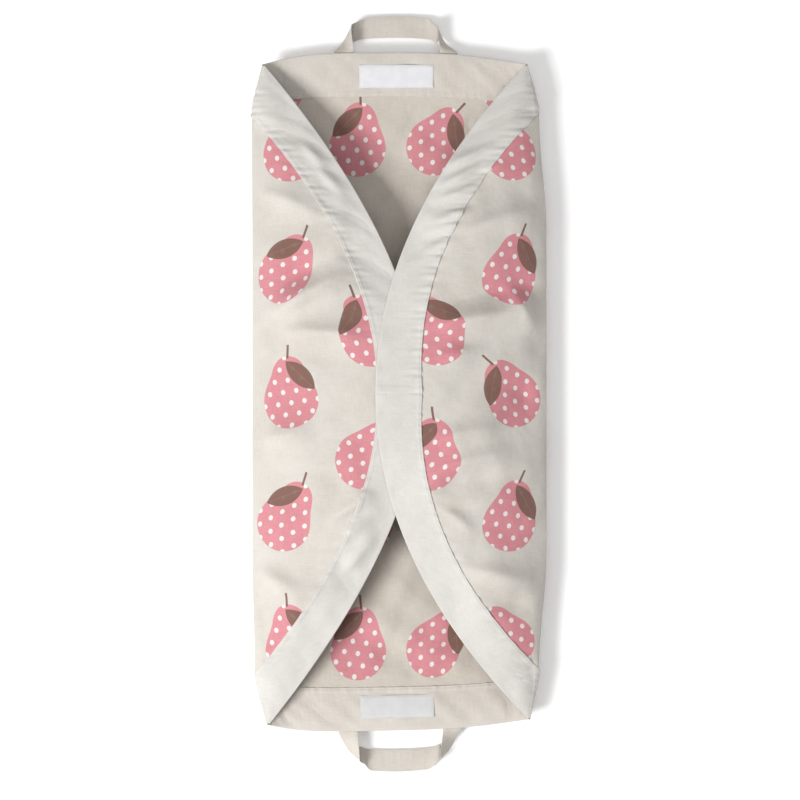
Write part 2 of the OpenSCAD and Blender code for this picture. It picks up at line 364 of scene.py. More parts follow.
def canvas(name, tone, deep, printed, height=0.0005):
    """Canvas with its weave, slubs and soft dents, and in places fine creases pulled across,
    printed or plain."""
    made, shader, place, u, v = finish_of(name, 0.86, 0.12)
    relief, slub = weave(place, u, v)
    colour = canvas_colour(place, tone, deep, slub)
    if printed:
        colour = fruit_print(place, u, v, colour, slub)
    join(colour, shader, "Base Color")
    join(slub.step(0.3, 0.7, 0.80, 0.93), shader, "Roughness")
    crumple = place.add("ShaderNodeTexNoise", {"noise_dimensions": "2D"},
                        {"Vector": place, "Scale": 26.0, "Detail": 2.5, "Roughness": 0.45})
    pulled = place.add("ShaderNodeVectorMath", {"operation": "MULTIPLY"},
                       {0: place, 1: (9.0, 75.0, 1.0)})
    creases = place.add("ShaderNodeTexNoise", {"noise_dimensions": "2D"},
                        {"Vector": pulled, "Scale": 1.0, "Detail": 2.0})
    where = place.add("ShaderNodeTexNoise", {"noise_dimensions": "2D"},
                      {"Vector": place, "Scale": 6.5, "Detail": 1.0})
    soft = place.add("ShaderNodeBump", {}, {
        "Strength": 0.7, "Distance": 0.0030,
        "Height": crumple + creases * where.step(0.46, 0.62) * 0.36})
    join(place.add("ShaderNodeBump", {}, {"Strength": 0.6, "Distance": height,
                                          "Height": relief, "Normal": soft}),
         shader, "Normal")
    return made


CANVAS_TONE = (0.620, 0.588, 0.545, 1)
CANVAS_DEEP = (0.545, 0.505, 0.450, 1)
outer_print = canvas("printed canvas", CANVAS_TONE, CANVAS_DEEP, True)

WALL_ARC = math.pi / 2 * WALL_R
FLAT_HALF = FOLD_X - WALL_R
FOLD_U = FLAT_HALF + WALL_ARC
PANEL_V = 1 - 0.062 / END_Y


def base_grid(step_flat, rows):
    """Stations across (a) and along (v) the base, with the distance u from the middle."""
    flat = np.linspace(0, FLAT_SHARE, step_flat)
    wall = np.linspace(FLAT_SHARE, 1, 26)[1:]
    half = np.concatenate([flat, wall])
    u = np.where(half < FLAT_SHARE, half / FLAT_SHARE * FLAT_HALF,
                 FLAT_HALF + (half - FLAT_SHARE) / (1 - FLAT_SHARE) * WALL_ARC)
    a = np.concatenate([-half[:0:-1], half])
    u = np.concatenate([-u[:0:-1], u])
    v = np.linspace(-PANEL_V, PANEL_V, rows)
    return np.meshgrid(a, v), np.meshgrid(u, v * END_Y)


def base_creases(a, v):
    """Heights of the soft waves in the loose lining: products of sines, zero at the folds."""
    x, y = a * 0.4, v * END_Y
    waves = ripple(x * 0.6 + y, 11, (0.21, 0.13, 0.08), 0.0020)
    waves = waves + ripple(y * 0.5 - x, 12, (0.17, 0.11, 0.06), 0.0016)
    return (waves + 0.0040) * smooth((1 - np.abs(a)) / 0.5) * smooth((PANEL_V - np.abs(v)) / 0.12)


(a, v), (u, length) = base_grid(40, 150)
middle, lift = base_surface(a, v), normals(base_surface, a, v)
base_outer = cloth("base_outer_cloth", middle - lift * (GAP / 2),
                   middle - lift * PANEL_HALF, np.stack([u, length], -1), outer_print)
width, run = 2 * FOLD_U, 2 * PANEL_V * END_Y
base_cut = {"flat": (round(width, 3), round(run, 3)), "area": round(width * run, 4)}
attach(base_outer, "bag")
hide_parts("base_outer")

# ---------------------------------------------------------------------------
# Base of the lining. A second ply of the same canvas with the same print, laid
# loosely inside the outer sheet and sewn into the band with it, so it lies in
# soft waves between its seams.
# The same canvas as the outer ply, coloured darker and warmer: painted shade of the bag's inside.
LINING_SHADED_TONE = (0.600, 0.550, 0.490, 1)
LINING_SHADED_DEEP = (0.520, 0.465, 0.400, 1)
lining_print = canvas("printed lining", LINING_SHADED_TONE, LINING_SHADED_DEEP, True)

(a, v), (u, length) = base_grid(50, 260)
middle, lift = base_surface(a, v), normals(base_surface, a, v)
loose = base_creases(a, v)[..., None]
base_lining = cloth("base_lining_cloth", middle + lift * (PANEL_HALF + loose),
                    middle + lift * (GAP / 2 + loose * 0.9), np.stack([u, length], -1),
                    lining_print)
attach(base_lining, "bag")
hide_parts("base_lining")

# ---------------------------------------------------------------------------
# End bands. A wide strip of plain canvas folded over each end rim, so that it
# faces both sides of the end wall. Its two hems are turned under and stitched
# through the sheet with cream thread.
# The same plain canvas as the side bands, coloured darker and warmer: painted shade of the end
# walls.
END_SHADED_TONE = (0.630, 0.588, 0.540, 1)
END_SHADED_DEEP = (0.555, 0.508, 0.452, 1)
end_canvas_in_shade = canvas("plain canvas of the ends", END_SHADED_TONE, END_SHADED_DEEP, False)
END_BAND_W = 0.074
STITCH_IN = 0.0030


def hem_height(d):
    """Extra height at a distance d from a hem: the turned-under ply as a step that rounds off
    at the hem, less a narrow dip where the thread pulls the cloth down."""
    step = 0.0006 * smooth(d / 0.0008) * smooth((0.0085 - d) / 0.002)
    return step - 0.00045 * np.exp(-((d - STITCH_IN) / 0.0011) ** 2)


def across_band(width, count):
    """Distances in from a hem to the rim's edge, crowded near the hem."""
    near = np.array([0, 0.0008, 0.0019, 0.0030, 0.0041, 0.0060, 0.0076, 0.0090])
    return np.concatenate([near, np.linspace(near[-1], width, count)[1:]])


def folded_strip(name, surface, at, rows, distances, pucker, uv_rows, edge_step, material):
    """A strip folded over the surface's edge. at(d, r) gives the surface's first parameter at a
    distance d from the hem on row r. The ring over each row is the outer leaf, a half circle
    round the edge and the inner leaf, each at its height over the middle surface."""
    d, r = np.meshgrid(distances, rows)
    c = at(d, r)
    p, n = surface(c, r), normals(surface, c, r)
    edge = surface(c[:, -1:], r[:, -1:])
    out = unit(edge - surface(c[:, -1:] - edge_step, r[:, -1:]))
    up = n[:, -1:]
    bend = np.radians([62, 30, 0, -30, -62])[None, :, None]
    hem = (hem_height(d) + pucker(d, r, 1))[..., None]
    hem_in = (hem_height(d) + pucker(d, r, -1))[..., None]

    def ring(h, share):
        turn = edge + h * (out * np.cos(bend) + up * np.sin(bend))
        return np.concatenate([p + n * (h + hem * share), turn,
                               (p - n * (h + hem_in * share))[:, ::-1]], axis=1)

    upper, lower = ring(BAND_HALF, 1), ring(BAND_HALF - PLY, 0.25)
    steps = np.linalg.norm(np.diff(upper, axis=1), axis=-1)
    run = np.concatenate([np.zeros((len(rows), 1)), np.cumsum(steps, 1)], 1)
    uv = np.stack([run, np.repeat(uv_rows[:, None], run.shape[1], 1)], -1)
    return cloth(name, upper, lower, uv, material)


cream_thread, shader, place, u, v = finish_of("cream thread", 0.75, 0.1)
plies = (u * 5200 + v * 2600).sine()
# Painted shade: the thread is coloured darker in the grooves between its plies and lighter on
# their crests, along the same waves as its bump.
join(plies.step(-1, 1).mix((0.50, 0.44, 0.37, 1), (0.66, 0.60, 0.53, 1)), shader, "Base Color")
join(plies.add("ShaderNodeBump", {}, {"Strength": 0.5, "Distance": 0.0001, "Height": plies}),
     shader, "Normal")
STITCH_LENGTH = 0.0027
STITCH_PITCH = 0.0036
STITCH_R = 0.00034


def stitches(name, lines):
    """Rows of thread stitches. Each line is (points, normals) on the cloth; along it, one stitch
    every pitch is a spindle with a half-sine profile, six sided, half sunk in the cloth."""
    verts, rings, sides = [], 5, 6
    t = np.linspace(0, 1, rings)
    radius = STITCH_R * np.sqrt(np.clip(np.sin(math.pi * t), 0.12, 1))
    angle = np.arange(sides) * 2 * math.pi / sides
    for points, ups in lines:
        run = np.concatenate([[0], np.cumsum(np.linalg.norm(np.diff(points, axis=0), axis=1))])
        count = max(2, int(run[-1] / STITCH_PITCH))
        middle = (np.arange(count) + 0.5) * run[-1] / count

        def on(values, where):
            return np.stack([np.interp(where, run, values[:, k]) for k in range(3)], -1)

        centre = on(points, middle)
        along = unit(on(points, middle + 0.0008) - on(points, middle - 0.0008))
        up = unit(on(ups, middle))
        side = unit(np.cross(along, up))
        place = centre[:, None, None] + along[:, None, None] * (
            (t - 0.5) * STITCH_LENGTH)[None, :, None, None]
        place = place + (up[:, None, None] * np.sin(angle)[None, None, :, None]
                         + side[:, None, None] * np.cos(angle)[None, None, :, None]) * (
            radius[None, :, None, None])
        verts.append(place.reshape(-1, 3))
    verts = np.concatenate(verts)
    total = len(verts) // (rings * sides)
    i, k = np.meshgrid(np.arange(rings - 1), np.arange(sides), indexing="ij")
    nxt = (k + 1) % sides
    quad = np.stack([i * sides + k, (i + 1) * sides + k, (i + 1) * sides + nxt,
                     i * sides + nxt], -1).reshape(-1, 4)
    start = np.arange(total)[:, None, None] * rings * sides
    quads = (quad[None] + start).reshape(-1, 4)
    caps = np.stack([np.arange(sides), (rings - 1) * sides + np.arange(sides)[::-1]])
    caps = (caps[None] + start).reshape(-1, sides)
    mesh = bpy.data.meshes.new(name)
    mesh.from_pydata(verts.tolist(), [], quads.tolist() + caps.tolist())
    mesh.polygons.foreach_set("use_smooth", np.ones(len(mesh.polygons), bool))
    layer = mesh.uv_layers.new(name="cloth")
    index = np.zeros(len(mesh.loops), np.int32)
    mesh.loops.foreach_get("vertex_index", index)
    layer.data.foreach_set("uv", verts[index][:, :2].astype(np.float32).ravel())
    mesh.materials.append(cream_thread)
    piece = bpy.data.objects.new(name, mesh)
    bpy.context.scene.collection.objects.link(piece)
    return piece


def seam_lines(surface, at, rows, distance, height):
    """Both seams of a folded strip, over and under the surface, at a distance from its hem."""
    r = np.asarray(rows)
    c = at(np.full_like(r, distance), r)
    p, n = surface(c, r), normals(surface, c, r)
    return [(p + n * height, n), (p - n * height, -n)]


for end, where in ((1, "head"), (-1, "foot")):
    def end_surface(c, r):
        return base_surface(end * r, end * c)

    def end_at(d, r):
        return 1 - (END_BAND_W - d) / END_Y

    def end_pucker(d, r, leaf):
        """Small tucks along the hem, dying away into the strip, and slow waves over it."""
        run = r * 0.35
        small = ripple(run, 21 + end, (0.031, 0.019, 0.013), 0.0005) + 0.0005
        slow = ripple(run + d, 24 + end, (0.15, 0.09, 0.05), 0.0009) * smooth(d / 0.02)
        calm = smooth((0.9 - np.abs(r)) / 0.15)
        return (small * np.exp(-(d / 0.012) ** 2) + slow * smooth((END_BAND_W - d) / 0.02)) * calm

    half = np.concatenate([np.linspace(0, FLAT_SHARE, 60), np.linspace(FLAT_SHARE, 1, 34)[1:]])
    rows = np.concatenate([-half[:0:-1], half])
    strip = folded_strip(f"{where}_band_cloth", end_surface, end_at, rows,
                         across_band(END_BAND_W, 20), end_pucker, rows * FOLD_U, 0.002,
                         end_canvas_in_shade)
    sewing = stitches(f"{where}_band_stitching", seam_lines(
        end_surface, end_at, np.linspace(-0.985, 0.985, 700), STITCH_IN, BAND_HALF + 0.0002))
    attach(strip, "bag")
    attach(sewing, "bag")
    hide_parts(f"{where}_band")
    round(2 * FOLD_U, 3)

# ---------------------------------------------------------------------------
# Hook and loop patches. White woven tape, one piece with loops at the head and
# one with hooks at the foot, each sewn flat to the band's inner face by a row
# of stitches just inside its edge.
PATCH_L = 0.130
PATCH_IN = 0.020
PATCH_W = 0.039
PATCH_OFF = -0.003


def tape(name, hooks):
    """White tape. Hooks stand in rows, so their height is two sines; loops are a fine tangle, so
    theirs is noise."""
    made, shader, place, u, v = finish_of(name, 0.7, 0.35)
    if hooks:
        low, high = (0.60, 0.60, 0.60, 1), (0.67, 0.67, 0.67, 1)
        pile = abs((u * 2600).sine() * (v * 3900).sine())
    else:
        low, high = (0.65, 0.65, 0.667, 1), (0.735, 0.735, 0.76, 1)
        pile = place.add("ShaderNodeTexNoise", {"noise_dimensions": "2D"},
                         {"Vector": place, "Scale": 900.0, "Detail": 4.0, "Distortion": 1.6})
    cloudy = place.add("ShaderNodeTexNoise", {"noise_dimensions": "2D"},
                       {"Vector": place, "Scale": 60.0, "Detail": 3.0})
    # Painted shade: the tape is coloured darker in the hollows of its hooks or loops and lighter
    # on their tops, mixed with a random mottle.
    pile_shade_and_mottle = pile.step(0.2, 0.8) * 0.6 + cloudy.step(0.3, 0.7) * 0.4
    join(pile_shade_and_mottle.mix(low, high), shader, "Base Color")
    join(place.add("ShaderNodeBump", {}, {"Strength": 0.6, "Distance": 0.0004, "Height": pile}),
         shader, "Normal")
    return made


loop_tape, hook_tape = tape("white loop tape", False), tape("white hook tape", True)
for end, where, kind, material in ((1, "head", "loop", loop_tape),
                                   (-1, "foot", "hook", hook_tape)):
    def wall(x, d):
        """The end wall at x across and d in from the rim, for either end."""
        v = 1 - d / END_Y
        side = (outline(1, end * v * CORNER_Y) + outline(-1, end * v * CORNER_Y)) / 2
        return base_surface(x * FLAT_SHARE / (side - WALL_R), end * v)

    across = np.linspace(-PATCH_L / 2, PATCH_L / 2, 90)
    inward = np.linspace(PATCH_IN, PATCH_IN + PATCH_W, 40)
    x, d = np.meshgrid(across, inward)
    x = x + PATCH_OFF
    p = wall(x, d)
    n = normals(wall, x, d)
    n = n * np.sign(n[..., 2:])
    if end > 0:
        p, n, x, d = p[::-1], n[::-1], x[::-1], d[::-1]
    edge = np.minimum(np.minimum(x - x.min(), x.max() - x),
                      np.minimum(d - PATCH_IN, PATCH_IN + PATCH_W - d))
    pile = 0.0005 * smooth((edge - 0.0022) / 0.0015)
    wave = ripple(x + d * 0.3, 31, (0.08, 0.05), 0.00018)
    h = (BAND_HALF + 0.0008 + wave)[..., None]
    patch = cloth(f"{where}_{kind}_patch_tape", p + n * (h + 0.0007 + pile[..., None]), p + n * h,
                  np.stack([x, d], -1), material)
    inset = 0.0014
    top = BAND_HALF + 0.0016
    lines = []
    for fixed, flat in ((True, inset), (True, -inset), (False, inset), (False, -inset)):
        t = np.linspace(0, 1, 60)
        if fixed:
            lx = np.full_like(t, x.min() + flat if flat > 0 else x.max() + flat)
            ld = PATCH_IN + inset + t * (PATCH_W - 2 * inset)
        else:
            lx = x.min() + inset + t * (PATCH_L - 2 * inset)
            ld = np.full_like(t, PATCH_IN + flat if flat > 0 else PATCH_IN + PATCH_W + flat)
        ln = normals(wall, lx, ld)
        ln = ln * np.sign(ln[..., 2:])
        lines.append((wall(lx, ld) + ln * top, ln))
    sewing = stitches(f"{where}_{kind}_patch_stitching", lines)
    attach(patch, "bag")
    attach(sewing, "bag")
    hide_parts(f"{where}_{kind}_patch")

# ---------------------------------------------------------------------------
# Side flaps. The outer sheet and the lining carry on past the side folds, fold
# inwards over the base and meet over the middle, the right one on top. They
# are drawn into soft folds that run out from where they are held together.
# Each is made as a head half and a foot half that meet at the middle.
TOP = {1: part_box("right_flap_outer")[1].z - PANEL_HALF,
       -1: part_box("left_flap_outer")[1].z - PANEL_HALF}
FLAP_BODY = {1: "right_flap", -1: "left_flap"}
SIDE_NAME = {1: "right", -1: "left"}
RIM_DROP = 0.010
DROOP = 0.011

# Folds in the flaps: x and y of both ends, width and height, in metres. FOLD_DEPTH times the
# height is the fold's full height, so a negative height is a ridge and a positive one a valley.
FOLD_DEPTH = -4.8
FOLDS = {
    1: ((0.037, 0.113, 0.252, 0.150, 0.015, -0.0042),
        (0.060, 0.150, 0.240, 0.196, 0.018, 0.0024),
        (0.037, 0.052, 0.150, 0.082, 0.010, -0.0022),
        (0.053, -0.079, 0.190, -0.056, 0.014, -0.0026),
        (0.057, -0.136, 0.190, -0.096, 0.014, -0.0030),
        (0.070, -0.165, 0.215, -0.140, 0.018, 0.0018),
        (0.075, -0.200, 0.132, -0.240, 0.010, -0.0020),
        (0.116, -0.305, 0.250, -0.335, 0.017, -0.0040),
        (0.150, -0.360, 0.245, -0.380, 0.020, 0.0022),
        (0.105, 0.280, 0.250, 0.330, 0.013, -0.0024),
        (0.190, 0.190, 0.254, 0.100, 0.013, -0.0030),
        (0.160, 0.020, 0.250, -0.010, 0.022, 0.0020),
        (0.160, 0.430, 0.072, 0.390, 0.0075, -0.0022),
        (0.146, 0.400, 0.064, 0.356, 0.0075, -0.0024),
        (0.138, 0.362, 0.057, 0.332, 0.0070, -0.0022),
        (0.127, 0.318, 0.051, 0.296, 0.0070, -0.0020),
        (0.112, 0.296, 0.046, 0.277, 0.0065, -0.0015),
        (0.100, 0.262, 0.040, 0.248, 0.0065, -0.0012)),
    -1: ((-0.230, 0.138, -0.088, 0.214, 0.015, -0.0046),
         (-0.225, 0.176, -0.120, 0.236, 0.018, 0.0024),
         (-0.195, 0.110, -0.043, 0.098, 0.013, -0.0034),
         (-0.180, 0.070, -0.050, 0.050, 0.020, 0.0016),
         (-0.254, -0.086, -0.157, -0.060, 0.014, -0.0024),
         (-0.125, -0.222, -0.038, -0.168, 0.010, -0.0024),
         (-0.110, -0.262, -0.052, -0.214, 0.009, -0.0018),
         (-0.100, -0.312, -0.040, -0.244, 0.011, -0.0022),
         (-0.254, -0.305, -0.170, -0.350, 0.014, -0.0026),
         (-0.250, 0.356, -0.142, 0.316, 0.014, -0.0026),
         (-0.200, 0.300, -0.110, 0.286, 0.020, 0.0016),
         (-0.172, 0.440, -0.128, 0.392, 0.008, -0.0014),
         (-0.140, 0.392, -0.094, 0.342, 0.008, -0.0014)),
}


def flap_rim(side, y):
    """Distance of the free rim from the middle line: a power of the distance from the middle."""
    corner = at_end(CORNER_X[side], y)
    return -BAND_W / 2 + (corner + BAND_W / 2) * (np.abs(y) / CORNER_Y) ** RIM_POWER[side]


def fold_heights(side, x, y):
    """Sum of the flap's folds: each is a bell across its line and a half sine along it."""
    total = np.zeros_like(x)
    for x0, y0, x1, y1, width, height in FOLDS[side]:
        length = math.hypot(x1 - x0, y1 - y0)
        tx, ty = (x1 - x0) / length, (y1 - y0) / length
        along = ((x - x0) * tx + (y - y0) * ty) / length
        off = -(x - x0) * ty + (y - y0) * tx + 0.010 * (along - 0.5) ** 2
        fade = np.sin(math.pi * np.clip((along + 0.12) / 1.24, 0, 1)) ** 1.5
        spread = 1.25 * width * (0.7 + 0.6 * np.clip(along, 0, 1))
        total += height * fade * np.exp(-(0.04 + (off / spread) ** 2) ** 0.8 + 0.076)
    return total * FOLD_DEPTH + rumple(x, y, 41 + side, 0.0020)


def rumple(x, y, seed, height):
    """Soft unevenness: a sum of eighteen sines over the plane, in seeded directions and wave
    lengths from 45 to 190 mm, the short ones lower."""
    rng = np.random.default_rng(seed)
    total = np.zeros_like(x)
    for length in np.geomspace(0.045, 0.19, 18):
        way, phase = rng.uniform(0, math.pi), rng.uniform(0, 2 * math.pi)
        wave = 2 * math.pi / length * (x * math.cos(way) + y * math.sin(way)) + phase
        total += np.sin(wave) * (length / 0.19) * height / 2
    return total


def band_plan(side, y):
    """The band's width seen from above: full at the middle, less where the flap slopes."""
    t = np.abs(y) / CORNER_Y
    corner = at_end(CORNER_X[side], y) + BAND_W / 2
    slope = RIM_POWER[side] * corner * t ** (RIM_POWER[side] - 1) / CORNER_Y
    return (1 - 0.17 * np.sin(math.pi * np.clip(t, 0, 1))) * np.sqrt(1 + slope ** 2)


def flap_at(side, d, v):
    """Share w of the flap's reach at a distance d in from the band's seam; 1 is the rim."""
    y = v * CORNER_Y
    reach = outline(side, y) - flap_rim(side, y)
    seam = 1 - BAND_W * band_plan(side, y) / reach
    return np.clip(seam, 0, 1) + (1 - np.clip(seam, 0, 1)) * d / BAND_W


def flap_surface(side):
    def surface(w, v):
        """Middle surface of a flap: straight across from fold to rim, and in height a rounded
        power curve from the fold up to the crown, fuller in some places than in others and lower
        towards the ends, with the rim sagging along the mouth, the band drooping into it, the
        folds, and small tucks along the band's seam."""
        y = v * CORNER_Y
        reach = outline(side, y) - flap_rim(side, y)
        x = side * (outline(side, y) - reach * w)
        t = np.abs(v)
        inner = np.clip(w, 0, 1)
        rise = (TOP[side] - FOLD_Z) * (1 - t ** 3)
        fullness = 0.82 + ripple(y, 84 + side, (0.33, 0.19, 0.12), 0.085)
        dome = (1 - (1 - inner) ** 2.5) ** fullness
        sag = RIM_DROP * 4 * t * (1 - t) * smooth((inner - 0.3) / 0.7)
        calm = 1 - 0.97 * np.exp(-((x / 0.082) ** 2 + (y / 0.205) ** 2) ** 3)
        soft = smooth(inner / 0.14) * smooth((1 - t) / 0.12) * calm
        seam = 1 - BAND_W * band_plan(side, y) / reach
        from_seam = (inner - seam) * reach
        over = (inner - seam) / np.maximum(1 - seam, 0.05)
        sag = sag + DROOP * 4 * t * (1 - t) * smooth((over + 0.3) / 1.3)
        sag = sag * (1 - 0.45 * np.exp(-(t / 0.28) ** 4))
        tuck = ripple(y, 51 + side, (0.041, 0.027, 0.021), 0.0010) * np.exp(
            -(from_seam / 0.014) ** 2)
        z = FOLD_Z + rise * dome - sag + (fold_heights(side, x, y) + tuck) * soft
        return settle(np.stack([x, y, z], -1))
    return surface


# FREE_Y and HELD_Y are distances from the middle along the flap, for where it would turn with its
# body and where it would stay with the bag's corners; the pieces below are only set in place and
# don't turn.
FREE_Y, HELD_Y = 0.115, 0.395
PANEL_END = 0.846
ACROSS = 76
for side in (1, -1):
    surface = flap_surface(side)
    for end, where in ((1, "head"), (-1, "foot")):
        v = end * np.linspace(0, PANEL_END, 126)
        if end < 0:
            v = v[::-1]
        share = np.linspace(0, 1, ACROSS)[None] ** 1.6
        edge = flap_at(side, SEAM_IN, v)[:, None]
        w = np.minimum(share * edge, 1)
        r = np.repeat(v[:, None], ACROSS, 1)
        p, n = surface(w, r), normals(surface, np.maximum(w, 0.0011), r) * -side
        run = np.concatenate([np.zeros((len(v), 1)), np.cumsum(
            np.linalg.norm(np.diff(p, axis=1), axis=-1), 1)], 1)
        uv = np.stack([side * (FOLD_U + run), r * END_Y], -1)
        if side > 0:
            p, n, uv = p[:, ::-1], n[:, ::-1], uv[:, ::-1]
        name = f"{SIDE_NAME[side]}_flap_outer_{where}"
        outer = cloth(name + "_cloth", p + n * PANEL_HALF, p + n * (GAP / 2), uv, outer_print)
        inner = cloth(name.replace("outer", "lining") + "_cloth", p - n * (GAP / 2),
                      p - n * PANEL_HALF, uv, lining_print)
        long = PANEL_END * CORNER_Y
        cut = float(run[:, -1].mean()) * long
        for piece, node, finish in ((outer, "outer", "printed_canvas"),
                                    (inner, "lining", "printed_lining")):
            side * FOLD_X
            end * HELD_Y
            side * FOLD_X
            end * FREE_Y
            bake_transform(piece)
            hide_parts(f"{SIDE_NAME[side]}_flap_{node}")

# ---------------------------------------------------------------------------
# Side bands. Plain canvas folded over the free rim of each flap, in two
# lengths that are seamed together at the middle. The hems are turned under
# and stitched; the thread draws them into small tucks.
SIDE_TONE = (0.645, 0.626, 0.596, 1)
SIDE_DEEP = (0.570, 0.545, 0.505, 1)
side_canvas = canvas("plain canvas of the sides", SIDE_TONE, SIDE_DEEP, False)

for side in (1, -1):
    surface = flap_surface(side)
    for end, where in ((1, "head"), (-1, "foot")):
        def side_at(d, r):
            return flap_at(side, d, r)

        def side_pucker(d, r, leaf):
            """Tucks at the hem, deeper towards the head, and a dip beside the cross seam. The
            leaf that lies against the other flap is pressed flat over the middle."""
            run = r * CORNER_Y
            deep, far = (0.0010, 0.024) if end > 0 else (0.0006, 0.014)
            small = ripple(run, 61 + side, (0.027, 0.016, 0.011), deep) + 1.3 * deep
            slow = ripple(run + d * 0.7, 64 + side, (0.11, 0.07, 0.045), 0.0009)
            step = smooth(np.abs(run) / 0.0012) * smooth((0.0135 - np.abs(run)) / 0.002)
            cross = 0.0009 * step if end > 0 else -0.0007 * np.exp(-(run / 0.0018) ** 2)
            near_rim = smooth((BAND_W - d) / 0.015)
            calm = smooth((0.985 - np.abs(r)) / 0.1)
            if leaf > 0:
                calm = calm * (1 - 0.85 * np.exp(-(run / 0.17) ** 6))
            return (small * np.exp(-(d / far) ** 2) + slow * smooth(d / 0.02) * near_rim) * calm \
                + cross * smooth((BAND_W - d) / 0.002)

        v = end * np.concatenate([[0, 0.0012, 0.0028, 0.006], np.linspace(0.01, 0.996, 240)])
        if end * side < 0:
            v = v[::-1]
        if side > 0:
            v = v[::-1]
        strip = folded_strip(f"{SIDE_NAME[side]}_band_{where}_cloth", surface, side_at, v,
                             across_band(BAND_W, 20), side_pucker, v * END_Y, 0.002,
                             side_canvas)
        run = float(np.linalg.norm(np.diff(surface(np.full_like(v, 0.97), v), axis=0),
                                   axis=-1).sum())
        sewing = stitches(f"{SIDE_NAME[side]}_band_{where}_stitching", seam_lines(
            surface, side_at, end * np.linspace(0.004, 0.93, 900), STITCH_IN,
            BAND_HALF + 0.0002))
        for piece in (strip, sewing):
            side * FOLD_X
            end * HELD_Y
            side * FOLD_X
            end * FREE_Y
            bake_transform(piece)
        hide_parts(f"{SIDE_NAME[side]}_band_{where}")

# ---------------------------------------------------------------------------
# Closure. A strip of loop tape on top of the left band and one of hook tape
# under the right band hold the two flaps together at the middle.
for side, kind, material, node in ((-1, "loop", loop_tape, "left_loop_strip"),
                                   (1, "hook", hook_tape, "right_hook_strip")):
    surface = flap_surface(side)
    across = np.linspace(-PATCH_W / 2, PATCH_W / 2, 24)
    along = np.linspace(-PATCH_L / 2, PATCH_L / 2, 70)
    x, y = np.meshgrid(across, along)
    r = y / CORNER_Y
    reach = outline(side, y) - flap_rim(side, y)
    w = (outline(side, y) - side * x) / reach
    p, n = surface(w, r), normals(surface, w, r)
    n = n * np.sign(n[..., 2:]) * -side
    edge = np.minimum(PATCH_W / 2 - np.abs(x), PATCH_L / 2 - np.abs(y))
    pile = (0.0005 * smooth((edge - 0.002) / 0.0015))[..., None]
    near, far = BAND_HALF + 0.0004, BAND_HALF + 0.0010
    upper, lower = p + n * (far + pile), p + n * near
    if side > 0:
        upper, lower = lower, upper
    strip = cloth(node + "_tape", upper, lower, np.stack([x, y], -1), material)
    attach(strip, FLAP_BODY[side])
    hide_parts(node)

# ---------------------------------------------------------------------------
# Handles. One strap of canvas folded double at each end of the bag, both ends
# sewn flat under the end band. Each leg turns up on its edge towards the
# corner, and the grip comes out under it and lies flat with its other face up.
strap_canvas = canvas("strap canvas", (0.600, 0.560, 0.510, 1), (0.525, 0.480, 0.425, 1), False)
STRAP_W = 0.035
STRAP_T = 0.0020
SEWN = 0.060
STITCH_E = 0.84
HANDLE_Y, HANDLE_Z = (hinge["head_handle_fold"]["pos_m"][k] for k in (1, 2))
GRIP_Z = 0.006


def end_wall_point(x, d, end):
    """A point under an end wall, at x across and d in from the rim: the wall's middle surface
    less half the band's thickness and half the strap's along its normal."""
    side = outline(1, end * (1 - d / END_Y) * CORNER_Y)
    a, v = x * FLAT_SHARE / (side - WALL_R), end * (1 - d / END_Y)
    n = normals(base_surface, a, v)
    return base_surface(a, v) - n * (BAND_HALF + 0.0003 + STRAP_T / 2)


def half_loop(end, sign, inner, outer, corner, height, splay, grip_out, grip_in):
    """Points of the strap's two edges from the middle of the grip to the sewn end: six columns,
    the edge that rises at the corner and then the one that drops, x y z each in metres. Splay
    is the leg's width seen from above near the corner, as a share of the strap's."""
    high = HANDLE_Z + 0.009
    low, wide = GRIP_Z + 0.014 * splay, splay * STRAP_W
    rows = [(0, grip_out, GRIP_Z + 0.003, 0, grip_in, GRIP_Z),
            (corner * 0.28, grip_out - 0.0004, GRIP_Z + 0.003, corner * 0.28, grip_in - 0.0002,
             GRIP_Z),
            (corner * 0.54, grip_out - 0.0018, GRIP_Z + 0.004, corner * 0.56, grip_in - 0.0010,
             GRIP_Z),
            (corner * 0.76, grip_out - 0.0046, GRIP_Z + 0.007, corner * 0.83, grip_in - 0.0026,
             GRIP_Z),
            (corner - 0.0075, height + 0.0056, GRIP_Z + 0.015, corner + 0.0005, grip_in - 0.0058,
             GRIP_Z + 0.002),
            (corner - 0.0030, height + 0.0026, high - 0.006, corner + 0.0040, height - 0.016,
             GRIP_Z - 0.001),
            (corner, height - 0.0010, high, corner + 0.0005, height - 0.002, GRIP_Z - 0.0025),
            (corner + 0.0006, height - 0.011, high, corner + 0.003 + wide * 0.6, height - 0.011,
             low - 0.006),
            (corner * 0.3 + inner * 0.7, 0.019, high - 0.002, corner + 0.012 + wide, 0.020, low),
            (inner, 0.004, HANDLE_Z + 0.001, outer, 0.004, HANDLE_Z - 0.002)]
    rows = np.array(rows) * np.array([sign, 1, 1, sign, 1, 1])
    for k in (0, 3):
        rim = CORNER_Y + bow(rows[:, k], 0.232, end)
        rows[:, k + 1] = end * (rows[:, k + 1] + rim) + at_end(SKEW, end) * rows[:, k]
    under = [np.concatenate([end_wall_point(np.array(sign * x), np.array(d), end)
                             for x in (inner, outer)]) for d in (0.010, 0.026, 0.043, SEWN)]
    return np.concatenate([rows, under])


def through(points, run, s):
    """A cubic through the points at the distances in run: each span is a Hermite curve whose
    end slopes are the chords between the neighbours on either side."""
    slope = np.gradient(points, run, axis=0)
    k = np.clip(np.searchsorted(run, s, side="right") - 1, 0, len(run) - 2)
    span = (run[k + 1] - run[k])[:, None]
    t = (s - run[k])[:, None] / span
    return (points[k] * (1 + 2 * t) * (1 - t) ** 2 + points[k + 1] * t ** 2 * (3 - 2 * t)
            + slope[k] * span * t * (1 - t) ** 2 - slope[k + 1] * span * t ** 2 * (1 - t))


